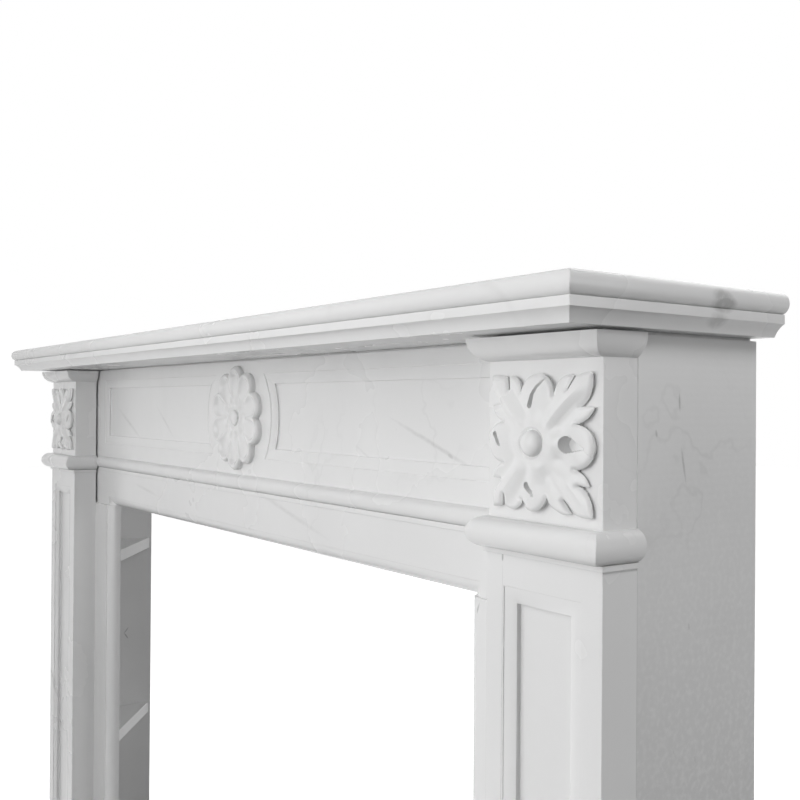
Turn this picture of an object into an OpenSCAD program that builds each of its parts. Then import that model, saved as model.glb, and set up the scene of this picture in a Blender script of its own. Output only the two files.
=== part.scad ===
// Fireplace mantel in white marble, with a moulded shelf, two pilasters that carry
// square acanthus pateras, and a panelled frieze with a round rosette.
// X runs along the front, +Y goes into the wall and +Z is up. The origin is on the floor,
// midway between the two sides and midway between the shelf's front and the wall.

/* [Overall] */
// Height from the floor to the top of the shelf
total_h = 1100; // [950:1:1250]
// Width over the outer faces of the two legs
body_w = 1520; // [1250:1:1900]
// Depth from the pilasters' faces back to the wall
body_d = 206; // [170:1:300]

/* [Shelf] */
// Thickness of the shelf
shelf_t = 41; // [36:0.5:60]
// How far the shelf's nose stands in front of the pilasters' faces
shelf_front = 74; // [50:0.5:110]
// How far the shelf's nose stands outside the legs
shelf_side = 34.5; // [25:0.5:60]
// Height of the half-round nose along the shelf's top
nose_h = 21; // [14:0.5:26]
// How far the nose stands beyond the flat band below it
nose_out = 5; // [3:0.5:7]
// Height of the flat band below the nose
band_h = 8; // [4:0.5:10]
// How far the hollow moulding draws in below the band
cove_in = 10.5; // [6:0.5:15]
// Height of the open joint left between the shelf and what carries it
bed_h = 2.5; // [1:0.5:5]
// How far the bed that fills this joint is held back from the faces
bed_in = 7; // [4:0.5:12]

/* [Pilasters] */
// Width of a pilaster's face
pilaster_w = 146; // [120:1:180]
// Thickness of a pilaster
pilaster_d = 42; // [34:0.5:60]
// Height of the square block that carries the patera
block_h = 144; // [120:1:180]
// How far the block is held back from the shaft's faces
block_in = 1; // [0.5:0.5:3]
// Height of the quarter-round moulding above the block
crown_h = 21; // [15:0.5:30]
// Height of the half-round moulding below the block
torus_h = 28; // [20:0.5:36]
// Height of the narrow fillet below the half-round
torus_fillet_h = 5; // [3:0.5:8]
// How far the fillet stands beyond the shaft
torus_fillet_out = 2.5; // [1:0.5:5]
// How far both mouldings stand in front of the pilaster
mould_front = 19; // [15:0.5:25]
// How far both mouldings stand out at the pilaster's sides
mould_side = 10.5; // [6:0.5:13]
// Height of the plain plinth at the foot
plinth_h = 140; // [90:1:180]
// How far the plinth stands beyond the shaft
plinth_out = 8; // [4:0.5:12]

/* [Sunk panels] */
// Width of the moulded frame around a panel
frame_w = 14.5; // [10:0.5:20]
// Depth of the small step along the frame's outer edge
frame_step = 1; // [0.5:0.25:2]
// How far the frame's round face falls from its outer to its inner edge
frame_fall = 2.5; // [1.5:0.25:3.5]
// Depth of a shaft's panel below the face
shaft_sink = 8; // [6:0.25:10]
// Margin between the shaft's edges and its panel
shaft_margin_side = 24.5; // [18:0.5:32]
// Margin between the fillet and the top of the shaft's panel
shaft_margin_top = 29; // [20:0.5:50]
// Margin between the plinth and the bottom of the shaft's panel
shaft_margin_foot = 32; // [20:0.5:60]

/* [Square patera] */
// Margin between the carved leaves and the block's edges
patera_margin = 7; // [4:0.5:14]
// How far the leaves stand out
leaf_out = 9; // [6:0.5:12]
// Radius of the round boss in the middle
boss_r = 12.5; // [9:0.5:16]
// How far the boss stands out
boss_out = 17.5; // [11:0.5:20]

/* [Frieze] */
// Thickness of the frieze slab
lintel_t = 30; // [22:1:40]
// How far the frieze's face is held back behind the slips' faces
lintel_back = 4; // [1:0.5:6]
// Height of the frieze field between the shelf and the half-round
field_h = 165; // [150:1:200]
// Height of the frieze's half-round moulding
rail_h = 22; // [16:0.5:26]
// How far the half-round stands out
rail_out = 8; // [5:0.5:10]
// Height of the fillet below it
rail_fillet_h = 6; // [3:0.5:8]
// How far that fillet stands out
rail_fillet_out = 2; // [1:0.5:4]
// Height of the plain fascia from the fillet down to the opening's edge moulding
fascia_h = 48; // [30:1:80]
// Depth of the frieze panels below the face
field_sink = 6; // [5:0.25:10]
// Margin between the shelf's underside and the frieze panels
field_margin_top = 21.5; // [15:0.5:30]
// Margin between the half-round and the frieze panels
field_margin_foot = 26; // [18:0.5:32]
// Margin between the pilasters and the frieze panels
field_margin_end = 40; // [25:1:80]
// Margin between the rosette and the round line that the panels' inner ends follow
medallion_margin = 24; // [16:1:40]

/* [Rosette] */
// Margin between the rosette and the top and foot of the frieze field
rosette_margin = 6.5; // [4:0.5:16]
// Number of petals
petals = 10; // [8:1:12]
// How far the rosette stands out
rosette_out = 11; // [8:0.5:14]
// Radius of the button in the middle
button_r = 11; // [8:0.5:14]

/* [Opening] */
// Width from a pilaster's inner side to the opening
slip_w = 80; // [50:1:130]
// Thickness of the slips
slip_t = 22; // [18:1:30]
// Width of the rounded moulding along the opening's edge
bead_w = 16; // [10:0.5:20]
// Depth of the small step along that moulding
bead_step = 1.5; // [0.5:0.25:3]

/* [Sides and braces] */
// Thickness of the side slabs
side_t = 22; // [18:1:30]
// Thickness of the triangular braces inside the legs
brace_t = 22; // [18:1:30]
// How far the braces stop short of the opening's edge
brace_short = 28; // [10:1:45]
// How far the braces stop short of the side slabs' back edges
brace_back = 4; // [1:1:40]

/* [Hidden] */

// Smooth circles and arcs, and those of the widest mouldings
$fn = 96;
wide_fn = 180;
// Overlap that makes cuts and unions clean
eps = 0.5;
// Reach of the cuts past the stone
clear = 30;
// Gap between the frieze's half-round and the pilasters' mouldings
rail_gap = 1;

// Shelf
shelf_z = total_h - shelf_t;
nose_r = nose_h / 2;
cove_h = shelf_t - nose_h - band_h;
cove_r = 3 * norm([cove_in, cove_h]) / 2;

// Planes in depth: shelf front, pilaster face, slips' face, wall
front_y = -(body_d + shelf_front) / 2;
shaft_y = front_y + shelf_front;
slip_y = shaft_y + pilaster_d;
lintel_y = slip_y + lintel_back;
wall_y = front_y + shelf_front + body_d;

// Heights of a pilaster's parts
body_top = shelf_z - bed_h;
block_top = body_top - crown_h;
block_z = block_top - block_h;
torus_z = block_z - torus_h;
torus_fillet_z = torus_z - torus_fillet_h;

// A pilaster's middle, and its two sides
pilaster_x = (body_w - pilaster_w) / 2;
pilaster_inner = body_w / 2 - pilaster_w;

// Width and height of the patera
patera_w = min(pilaster_w - 2 * block_in, block_h) - 2 * patera_margin;

// Heights of the frieze's parts
rail_top = body_top - field_h;
rail_z = rail_top - rail_h;
rail_fillet_z = rail_z - rail_fillet_h;
opening_z = rail_fillet_z - fascia_h - bead_w;
opening_x = pilaster_inner - slip_w;

// Frieze panels, the round field and the rosette
field_top = shelf_z - field_margin_top;
field_foot = rail_top + field_margin_foot;
rosette_z = (body_top + rail_top) / 2;
rosette_r = field_h / 2 - rosette_margin;
medallion_r = rosette_r + medallion_margin;

// Height between the floor, the lower braces and the upper braces
brace_rise = shelf_z / 3;

marble = [0.93, 0.93, 0.92];
marble_shade = [0.86, 0.86, 0.85];

// ---- outlines -------------------------------------------------------------
// In each outline seen end on, the first axis is the distance out from a face and the
// second is the height. In each cut, the first axis runs along the face and the second
// is the depth below it.

// The shelf's edge: 0 is the nose's furthest point, and the stone lies at negative x
module shelf_edge(reach) {
    band_x = -nose_out;
    lip_x = band_x - cove_in;
    // The hollow is a shallow arc through the cove's two edges, about a centre in front
    chord = norm([cove_in, cove_h]);
    middle = [(lip_x + band_x) / 2, cove_h / 2];
    outward = [cove_h, -cove_in] / chord;
    translate([-nose_r, shelf_t - nose_r]) circle(r = nose_r);
    translate([-reach, shelf_t - nose_h]) square([reach - nose_r, nose_h]);
    translate([-reach, cove_h]) square([reach + band_x, band_h + eps]);
    difference() {
        polygon([[-reach, 0], [lip_x, 0], [band_x, cove_h], [-reach, cove_h]]);
        translate(middle + outward * sqrt(cove_r * cove_r - chord * chord / 4)) circle(r = cove_r);
    }
}

// A half-round moulding that springs from height 0, and starts "root" behind the face
module half_round(out, h, root = eps) {
    r = out > h / 2 ? h / 2 : (out * out + h * h / 4) / (2 * out);
    intersection() {
        translate([out - r, h / 2]) circle(r = r);
        translate([-root, 0]) square([root + out + eps, h]);
    }
    if (out > r) translate([-root, 0]) square([root + out - r, h]);
}

// A quarter-round moulding that is furthest out at its top and dies away at height 0
module quarter_round(out, h) {
    r = (out * out + h * h) / (2 * out);
    intersection() {
        translate([out - r, h]) circle(r = r);
        translate([-eps, 0]) square([out + eps, h]);
    }
}

// One side of a pilaster: 0 is the shaft's face, and the mouldings stand out by "out"
module pilaster_edge(reach, out) {
    bevel_z = plinth_h - plinth_out;
    polygon([
        [-reach, 0], [plinth_out, 0], [plinth_out, bevel_z], [0, plinth_h],
        [0, torus_fillet_z], [torus_fillet_out, torus_fillet_z], [torus_fillet_out, torus_z],
        [-block_in, torus_z], [-block_in, body_top], [-reach, body_top]
    ]);
    translate([0, torus_z]) half_round(out, torus_h, block_in + eps);
    translate([-block_in, block_top]) quarter_round(out + block_in, crown_h);
}

// What a panel's frame takes from the stone: 0 is the frame's inner edge, and the sunk
// field lies at negative x, "sink" below the face
module frame_cut(reach, sink) {
    r = (frame_w * frame_w + frame_fall * frame_fall) / (2 * frame_fall);
    translate([-reach, -clear]) square([reach, clear + sink]);
    difference() {
        translate([-eps, -clear]) square([frame_w + eps, clear + frame_step + frame_fall]);
        translate([frame_w, frame_step + r]) circle(r = r, $fn = wide_fn);
    }
}

// The same for both edges of a panel that lies between a0 and a1
module panel_cut(a0, a1, sink) {
    half = (a1 - a0) / 2 - frame_w;
    for (s = [0, 1]) translate([(a0 + a1) / 2, 0]) mirror([s, 0]) translate([half, 0])
        frame_cut(half + eps, sink);
}

// What the opening and its rounded edge take from the stone: 0 is the opening's edge
module edge_cut(reach) {
    translate([-reach, -clear]) square([reach, 2 * clear + slip_t]);
    difference() {
        translate([-eps, -clear]) square([bead_w + eps, clear + bead_step + bead_w]);
        translate([bead_w, bead_step + bead_w]) circle(r = bead_w);
    }
}

// ---- placing --------------------------------------------------------------

// Runs an end-on outline along X from x0 to x1, with its 0 on the plane at depth y
module along_x(x0, x1, y) {
    translate([x0, y, 0]) rotate([90, 0, 90]) linear_extrude(x1 - x0) mirror([1, 0]) children();
}

// Runs an end-on outline along Y from y0 to y1 at both sides, with its 0 at x and at -x
module both_sides(x, y0, y1) {
    for (s = [0, 1]) mirror([s, 0, 0]) translate([x, y1, 0])
        rotate([90, 0, 0]) linear_extrude(y1 - y0) children();
}

// Stands a cut upright: along the face becomes the height, and depth goes into the wall
module upright_cut(x0, x1, y) {
    translate([x0, y, 0]) rotate([90, 0, 90]) linear_extrude(x1 - x0)
        mirror([1, 0]) rotate(90) children();
}

// Lays a cut level: along the face runs along X, and depth goes into the wall
module level_cut(z0, z1, y) {
    translate([0, y, z0]) linear_extrude(z1 - z0) children();
}

// Stands a carving, drawn with its back on z = 0, on a face at depth y
module on_face(x, y, z) {
    translate([x, y, z]) rotate([90, 0, 0]) children();
}

// A piece and its mirror image carry the sign of their side
module at_side(s) {
    mirror([s < 0 ? 1 : 0, 0, 0]) children();
}

// ---- carving --------------------------------------------------------------

// A rounded lobe from its root to its tip: w is about its width, and it is fuller
// towards the tip by the share "taper"
function lobe(root, tip, w, taper = 0.28, n = 12) =
    let (axis = tip - root, side = [-axis[1], axis[0]] / norm(axis) * w / 2)
    [for (i = [0 : 2 * n - 1])
        let (a = 180 * i / n)
        root + axis * (1 - cos(a)) / 2 + side * sin(a) * (1 - taper * cos(a))];

// A ball that is turned so that its poles stay off the carved faces
module ball(r) {
    rotate([90, 0, 0]) sphere(r = r);
}

// A round knob of radius r on a short neck, standing "out" beyond the stone
module knob(r, out) {
    neck_r = 0.98 * r;
    translate([0, 0, -eps]) cylinder(r = neck_r, h = out - r / 2);
    translate([0, 0, out - r]) ball(r);
}

// A bowl-shaped hollow of radius r, whose centre lies "above" over the face it is cut in
module scoop(x, r, face, above) {
    translate([x, 0, face + above]) ball(r);
}

// Every length below is a share of h, half the patera's width
module patera_outline() {
    h = patera_w / 2;
    heart_r = 0.55 * h;
    mid_lobe_w = 0.42 * h;
    side_lobe_w = 0.3 * h;
    // A side lobe's root and tip, along one side of the square and across it
    root = [0.3, 0.12] * h;
    tip = [1, 0.62] * h;
    side_leaf_r = 0.33 * h;
    side_leaf_x = 0.63 * h;
    circle(r = heart_r);
    for (q = [0 : 3]) rotate(90 * q) {
        // The corner leaf's three lobes
        polygon(lobe([0, 0], [h, h], mid_lobe_w));
        polygon(lobe(root, tip, side_lobe_w));
        polygon(lobe([root[1], root[0]], [tip[1], tip[0]], side_lobe_w));
        // The round leaf in the middle of a side
        translate([side_leaf_x, 0]) circle(r = side_leaf_r);
    }
}

module patera() {
    h = patera_w / 2;
    eye_x = 0.6 * h;
    eye_r = 0.12 * h;
    eye_floor = 0.3 * leaf_out;
    hollow_x = 0.85 * h;
    hollow_r = 0.42 * h;
    hollow_lift = 0.88 * hollow_r;
    // How far the two hollows turn away from a corner leaf's rib
    hollow_turn = 12;
    difference() {
        translate([0, 0, -eps]) linear_extrude(leaf_out + eps) patera_outline();
        for (q = [0 : 3]) rotate(90 * q) {
            // The drilled eye in a side's leaf, and the hollows beside a corner leaf's rib
            translate([eye_x, 0, eye_floor]) cylinder(r = eye_r, h = leaf_out);
            for (s = [-1, 1]) rotate(45 + hollow_turn * s)
                scoop(hollow_x, hollow_r, leaf_out, hollow_lift);
        }
    }
    knob(boss_r, boss_out);
}

module rosette() {
    step = 360 / petals;
    // Petals this wide just overlap their neighbours
    petal_r = 1.12 * rosette_r * sin(step / 2) / (1 + sin(step / 2));
    petal_x = rosette_r - petal_r;
    plate = 0.75 * rosette_out;
    bowl_r = 1.1 * petal_r;
    bowl_lift = 0.72 * bowl_r;
    dimple_x = 0.36 * rosette_r;
    dimple_r = 0.45 * petal_r;
    dimple_lift = 0.3 * petal_r;
    difference() {
        translate([0, 0, -eps]) linear_extrude(plate + eps) {
            circle(r = petal_x);
            for (i = [0 : petals - 1]) rotate(step * (i + 0.5)) translate([petal_x, 0])
                circle(r = petal_r);
        }
        // The bowl in each petal, and a ring of dimples round the button
        for (i = [0 : petals - 1]) rotate(step * (i + 0.5)) {
            scoop(petal_x, bowl_r, plate, bowl_lift);
            rotate(step / 2) scoop(dimple_x, dimple_r, plate, dimple_lift);
        }
    }
    knob(button_r, rosette_out);
}

// ---- pieces ---------------------------------------------------------------

module mantel_shelf() {
    half_w = body_w / 2 + shelf_side;
    color(marble) {
        translate([0, 0, shelf_z]) intersection() {
            along_x(-half_w, half_w, front_y) shelf_edge(wall_y - front_y);
            both_sides(half_w, front_y - eps, wall_y + eps) shelf_edge(half_w + eps);
        }
        shelf_bed();
    }
}

// The shelf's bed: low pads over the frieze, the legs and the pilasters, held back from the faces
module shelf_bed() {
    x = body_w / 2 - bed_in;
    bed_y = lintel_y + bed_in;
    translate([-x, bed_y, body_top]) cube([2 * x, wall_y - bed_y, bed_h + eps]);
    for (s = [-1, 1]) at_side(s) translate([pilaster_inner + bed_in, shaft_y + bed_in, body_top])
        cube([pilaster_w - 2 * bed_in, bed_y - shaft_y, bed_h + eps]);
}

// The opening, with its rounded edge cut into a face at depth y
module opening_cut(y) {
    x = opening_x + bead_w + eps;
    intersection() {
        upright_cut(-x, x, y) translate([opening_z, 0]) edge_cut(opening_z + clear);
        level_cut(-clear, opening_z + bead_w + eps, y) for (s = [0, 1]) mirror([s, 0])
            translate([opening_x, 0]) edge_cut(opening_x + eps);
    }
}

// A frieze panel: straight edges, and an inner end that follows the round field
module field_cut() {
    x1 = pilaster_inner - field_margin_end;
    intersection() {
        upright_cut(0, x1, lintel_y) panel_cut(field_foot, field_top, field_sink);
        level_cut(field_foot, field_top, lintel_y) panel_cut(-x1, x1, field_sink);
        difference() {
            translate([0, lintel_y - clear, field_foot]) cube([x1, 2 * clear, field_top - field_foot]);
            on_face(0, lintel_y, rosette_z) medallion_keep();
        }
    }
}

// The stone that stays round the rosette, out to the panels' inner edge
module medallion_keep() {
    edge = medallion_r + frame_w;
    rotate_extrude($fn = wide_fn) difference() {
        translate([0, -3 * clear]) square([edge, 6 * clear]);
        translate([edge, 0]) mirror([0, 1]) mirror([1, 0]) frame_cut(clear, field_sink);
    }
}

module frieze_lintel() {
    x = body_w / 2 - side_t;
    rail_x = pilaster_inner - mould_side - rail_gap;
    color(marble) {
        difference() {
            translate([-x, lintel_y, opening_z]) cube([2 * x, lintel_t, body_top - opening_z]);
            opening_cut(lintel_y);
            for (s = [-1, 1]) at_side(s) field_cut();
        }
        along_x(-rail_x, rail_x, lintel_y) {
            translate([0, rail_z]) half_round(rail_out, rail_h);
            translate([-eps, rail_fillet_z]) square([rail_fillet_out + eps, rail_fillet_h]);
        }
        on_face(0, lintel_y, rosette_z) rosette();
    }
}

module pilaster(s) {
    panel_x = pilaster_w / 2 - shaft_margin_side;
    panel_z = torus_fillet_z - shaft_margin_top;
    color(marble) at_side(s) translate([pilaster_x, 0, 0]) {
        difference() {
            intersection() {
                along_x(-pilaster_w, pilaster_w, shaft_y) pilaster_edge(pilaster_d, mould_front);
                both_sides(pilaster_w / 2, shaft_y - mould_front - eps, slip_y + eps)
                    pilaster_edge(pilaster_w / 2 + eps, mould_side);
            }
            intersection() {
                upright_cut(-panel_x, panel_x, shaft_y)
                    panel_cut(plinth_h + shaft_margin_foot, panel_z, shaft_sink);
                level_cut(plinth_h, panel_z + eps, shaft_y) panel_cut(-panel_x, panel_x, shaft_sink);
            }
        }
        on_face(0, shaft_y + block_in, block_z + block_h / 2) patera();
    }
}

// A side slab, flush with the pilaster, from its back to the wall
module side_slab(s) {
    color(marble_shade) at_side(s) translate([body_w / 2 - side_t, slip_y, 0])
        cube([side_t, wall_y - slip_y, body_top]);
}

// An upright slip beside the opening, which runs on behind the pilaster to the side slab
module slip(s) {
    color(marble) difference() {
        at_side(s) translate([opening_x, slip_y, 0])
            cube([body_w / 2 - side_t - opening_x, slip_t, opening_z]);
        opening_cut(slip_y);
    }
}

// A triangular brace in a leg's inner corner, with its top at height z
module brace(s, z) {
    x = body_w / 2 - side_t;
    y = slip_y + slip_t;
    color(marble_shade) at_side(s) translate([0, 0, z - brace_t]) linear_extrude(brace_t)
        polygon([[x, y], [x, wall_y - brace_back], [opening_x + brace_short, y]]);
}

mantel_shelf();
frieze_lintel();
pilaster(-1);  // pilaster_left
pilaster(1);  // pilaster_right
side_slab(-1);  // side_slab_left
side_slab(1);  // side_slab_right
slip(-1);  // slip_left
slip(1);  // slip_right
brace(-1, 2 * brace_rise);  // upper_brace_left
brace(1, 2 * brace_rise);  // upper_brace_right
brace(-1, brace_rise);  // lower_brace_left
brace(1, brace_rise);  // lower_brace_right
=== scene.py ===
"""Fireplace mantel in veined white marble: a moulded shelf on two pilasters with square
acanthus pateras, a panelled frieze with a round rosette, slips, side slabs and braces.

Sizes are in millimetres and are turned into metres when a piece's mesh is made.
"""

import math

import bmesh
import bpy
import numpy as np
from mathutils import Matrix, Vector
from mathutils.geometry import tessellate_polygon


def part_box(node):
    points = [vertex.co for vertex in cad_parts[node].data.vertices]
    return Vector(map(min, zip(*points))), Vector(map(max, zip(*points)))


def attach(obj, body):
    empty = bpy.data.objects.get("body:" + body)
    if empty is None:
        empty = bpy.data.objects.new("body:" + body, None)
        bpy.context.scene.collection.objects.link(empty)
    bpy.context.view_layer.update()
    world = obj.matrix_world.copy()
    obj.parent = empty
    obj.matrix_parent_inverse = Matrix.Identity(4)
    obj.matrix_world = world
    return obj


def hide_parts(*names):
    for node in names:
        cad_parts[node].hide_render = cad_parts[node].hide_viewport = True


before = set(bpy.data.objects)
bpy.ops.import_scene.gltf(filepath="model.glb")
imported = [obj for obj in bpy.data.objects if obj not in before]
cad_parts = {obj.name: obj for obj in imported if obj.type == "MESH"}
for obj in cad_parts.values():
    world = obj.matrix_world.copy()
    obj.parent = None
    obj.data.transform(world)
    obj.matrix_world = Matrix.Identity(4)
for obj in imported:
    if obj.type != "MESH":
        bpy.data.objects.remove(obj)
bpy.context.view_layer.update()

MM = 0.001

# ---- sizes (millimetres) ---------------------------------------------------------------

# Points closer than this are one point
MERGE = 0.002
# Corners that are eased by hand, the sharpest corner that is left alone, and the most of an
# edge that its easing may take
ARRIS = 0.9
SAWN_ARRIS = 0.6
ARRIS_STEPS = 3
ARRIS_FROM = math.radians(28)
EASE_SHARE = 0.45
MOULD_EASE = 0.6
PANEL_EASE = 0.5
# Edges sharper than this are shaded as edges
SMOOTH_TO = math.radians(35)

# Shelf
SHELF_T = 41.0
NOSE_H = 21.0
NOSE_OUT = 5.0
BAND_H = 8.0
QUIRK_H = 0.5
COVE_IN = 10.5
COVE_R_SHARE = 1.5
BED_IN = 7.0

# Pilasters
PLINTH_H = 140.0
PLINTH_OUT = 8.0
BLOCK_H = 144.0
BLOCK_IN = 1.0
CROWN_H = 21.0
TORUS_H = 28.0
TORUS_FILLET_H = 5.0
TORUS_FILLET_OUT = 2.5
MOULD_FRONT = 19.0
MOULD_SIDE = 10.5

# Sunk panels
FRAME_W = 14.5
FRAME_STEP = 1.0
FRAME_FALL = 2.5
SHAFT_SINK = 8.0
SHAFT_MARGIN_SIDE = 24.5
SHAFT_MARGIN_TOP = 29.0
SHAFT_MARGIN_FOOT = 32.0

# Frieze
ROSETTE_OUT = 11.0
FIELD_H = 165.0
RAIL_H = 22.0
RAIL_OUT = 8.0
RAIL_FILLET_H = 6.0
RAIL_FILLET_OUT = 2.0
RAIL_GAP = 1.0
FIELD_MARGIN_TOP = 21.5
FIELD_MARGIN_FOOT = 26.0
FIELD_MARGIN_END = 40.0
FIELD_SINK = 6.0
MEDALLION_R = 100.0

# Opening
BEAD_W = 16.0
BEAD_STEP = 1.5

# ---- places, read from the frame -------------------------------------------------------


def box_mm(node):
    low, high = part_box(node)
    return np.array(low) / MM, np.array(high) / MM


shelf_low, shelf_high = box_mm("mantel_shelf")
lintel_low, lintel_high = box_mm("frieze_lintel")
pilaster_low, pilaster_high = box_mm("pilaster_right")
_, side_high = box_mm("side_slab_right")
slip_low, slip_high = box_mm("slip_right")

total_h = shelf_high[2]
shelf_z = total_h - SHELF_T
body_top = pilaster_high[2]
wall_y = shelf_high[1]
front_y = shelf_low[1]
shelf_x = shelf_high[0]
body_x = side_high[0]
slip_y = slip_low[1]
shaft_y = pilaster_low[1] + MOULD_FRONT
pilaster_inner = pilaster_low[0] + MOULD_SIDE
pilaster_outer = pilaster_high[0] - MOULD_SIDE
pilaster_x = (pilaster_inner + pilaster_outer) / 2
lintel_y = lintel_low[1] + ROSETTE_OUT
lintel_back = lintel_high[1]
opening_x = slip_low[0]
opening_z = lintel_low[2]

block_top = body_top - CROWN_H
block_z = block_top - BLOCK_H
torus_z = block_z - TORUS_H
torus_fillet_z = torus_z - TORUS_FILLET_H
rail_top = body_top - FIELD_H
rail_z = rail_top - RAIL_H
rail_fillet_z = rail_z - RAIL_FILLET_H
rosette_z = (body_top + rail_top) / 2

# ---- building meshes -------------------------------------------------------------------


class Stone:
    """Gathers the points and faces of one piece. Points that coincide are merged at the end."""

    def __init__(self):
        self.points = []
        self.faces = []

    def add(self, points):
        first = len(self.points)
        self.points.extend(tuple(float(c) for c in p) for p in points)
        return list(range(first, len(self.points)))

    def face(self, points):
        self.faces.append(self.add(points))

    def band(self, a, b, closed=False):
        """Quads between two rows of points that are already in the piece."""
        last = len(a) if closed else len(a) - 1
        for i in range(last):
            j = (i + 1) % len(a)
            self.faces.append((a[i], a[j], b[j], b[i]))

    def rows(self, rows, closed=False):
        """Quads between successive rows of points, given as coordinates."""
        ids = [self.add(row) for row in rows]
        for a, b in zip(ids, ids[1:]):
            self.band(a, b, closed)
        return ids

    def plate(self, outline, holes, place):
        """A flat face with holes. The loops are flat points, and place() sets them in space."""
        loops = [outline] + holes
        flat = [Vector((x, z, 0.0)) for loop in loops for x, z in loop]
        ids = self.add([place(v.x, v.y) for v in flat])
        triangles = tessellate_polygon([[Vector((x, z, 0.0)) for x, z in loop] for loop in loops])
        self.faces.extend(tuple(ids[i] for i in t) for t in triangles)

    def finish(self, name, material, node):
        """Makes the mesh, with its faces outwards, and ties it to the frame."""
        mesh = bpy.data.meshes.new(name)
        mesh.from_pydata([tuple(c * MM for c in p) for p in self.points], [], self.faces)
        work = bmesh.new()
        work.from_mesh(mesh)
        bmesh.ops.remove_doubles(work, verts=work.verts, dist=MERGE * MM)
        bmesh.ops.recalc_face_normals(work, faces=work.faces)
        if sum(f.calc_center_median().dot(f.normal) * f.calc_area() for f in work.faces) < 0:
            bmesh.ops.reverse_faces(work, faces=work.faces)
        open_edges = sum(1 for e in work.edges if len(e.link_faces) != 2)
        print(name, "faces", len(work.faces), "open edges", open_edges)
        work.to_mesh(mesh)
        work.free()
        mesh.shade_smooth()
        mesh.set_sharp_from_angle(angle=SMOOTH_TO)
        mesh.materials.append(material)
        piece = bpy.data.objects.new(name, mesh)
        bpy.context.scene.collection.objects.link(piece)
        weighted = piece.modifiers.new("even_shading", "WEIGHTED_NORMAL")
        weighted.keep_sharp = True
        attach(piece, "root")
        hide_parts(node)
        return piece


def ease(points, radius=ARRIS, steps=ARRIS_STEPS):
    """The same line of points with its sharp corners rounded."""
    points = [np.array(p, float) for p in points]
    eased = [points[0]]
    for a, p, b in zip(points, points[1:], points[2:]):
        back, ahead = a - p, b - p
        back_l, ahead_l = np.linalg.norm(back), np.linalg.norm(ahead)
        if min(back_l, ahead_l) < MERGE:
            continue
        turn = math.acos(max(-1.0, min(1.0, -np.dot(back, ahead) / (back_l * ahead_l))))
        if turn < ARRIS_FROM:
            eased.append(p)
            continue
        reach = min(radius * math.tan(turn / 2), EASE_SHARE * back_l, EASE_SHARE * ahead_l)
        start, end = p + back / back_l * reach, p + ahead / ahead_l * reach
        for k in range(steps + 1):
            t = k / steps
            eased.append((1 - t) ** 2 * start + 2 * t * (1 - t) * p + t * t * end)
    eased.append(points[-1])
    return eased


def arc(cx, cy, radius, start, end, steps):
    """Points on an arc, with its angles in degrees."""
    angles = np.radians(np.linspace(start, end, steps + 1))
    return [(cx + radius * math.cos(a), cy + radius * math.sin(a)) for a in angles]


def plan_ring(half_x, front, back, z, radius=ARRIS, middle=0.0):
    """A three-sided ring round a block's left side, front and right side, eased at its corners."""
    right = arc(half_x - radius, front + radius, radius, -90, 0, ARRIS_STEPS)
    left = [(-x, y) for x, y in reversed(right)]
    ring = [(-half_x, back)] + left + right + [(half_x, back)]
    return [(middle + x, y, z) for x, y in ring]


# ---- the shelf -------------------------------------------------------------------------


def shelf_profile():
    """The shelf's edge from its top to its underside: how far out, and how high."""
    nose_r = NOSE_H / 2
    cove_h = SHELF_T - NOSE_H - BAND_H
    band_x = -NOSE_OUT
    lip_x = band_x - COVE_IN
    quirk_z = cove_h + BAND_H + QUIRK_H
    quirk_turn = math.degrees(math.asin((SHELF_T - nose_r - quirk_z) / nose_r))
    nose = arc(-nose_r, SHELF_T - nose_r, nose_r, 90, -quirk_turn, 24)
    chord = math.hypot(COVE_IN, cove_h)
    cove_r = COVE_R_SHARE * chord
    away = math.sqrt(cove_r ** 2 - chord ** 2 / 4)
    cx = (lip_x + band_x) / 2 + cove_h / chord * away
    cz = cove_h / 2 - COVE_IN / chord * away
    start = math.degrees(math.atan2(cove_h - cz, band_x - cx))
    end = math.degrees(math.atan2(-cz, lip_x - cx))
    cove = arc(cx, cz, cove_r, start, end, 10)
    lower = [nose[-1], (band_x, quirk_z), (band_x, cove_h)] + cove[1:] + [(lip_x - BED_IN, 0.0)]
    lower = ease(lower, MOULD_EASE)
    return nose[:-1] + [tuple(p) for p in lower]


def mantel_shelf(material):
    stone = Stone()
    rings = [plan_ring(shelf_x + out, front_y - out, wall_y, shelf_z + z) for out, z in shelf_profile()]
    stone.rows(rings)
    stone.face(rings[0])
    # The bed under the shelf, which leaves an open joint round what carries it
    x0, x1 = pilaster_inner + BED_IN, body_x - BED_IN
    y0, y1 = shaft_y + BED_IN, lintel_y + BED_IN
    bed = [(-x1, wall_y), (-x1, y0), (-x0, y0), (-x0, y1), (x0, y1), (x0, y0), (x1, y0), (x1, wall_y)]
    stone.face(list(rings[-1]) + [(x, y, shelf_z) for x, y in reversed(bed)])
    stone.rows([[(x, y, shelf_z) for x, y in bed], [(x, y, body_top) for x, y in bed]])
    stone.face([(x, y, body_top) for x, y in bed])
    left_edge = [ring[0] for ring in rings]
    right_edge = [ring[-1] for ring in rings]
    bed_back = [(x, wall_y, z) for x, z in ((x1, shelf_z), (x1, body_top), (-x1, body_top), (-x1, shelf_z))]
    stone.face(right_edge + bed_back + left_edge[::-1])
    return stone.finish("moulded_shelf", material, "mantel_shelf")


# ---- sunk panels -----------------------------------------------------------------------


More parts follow.
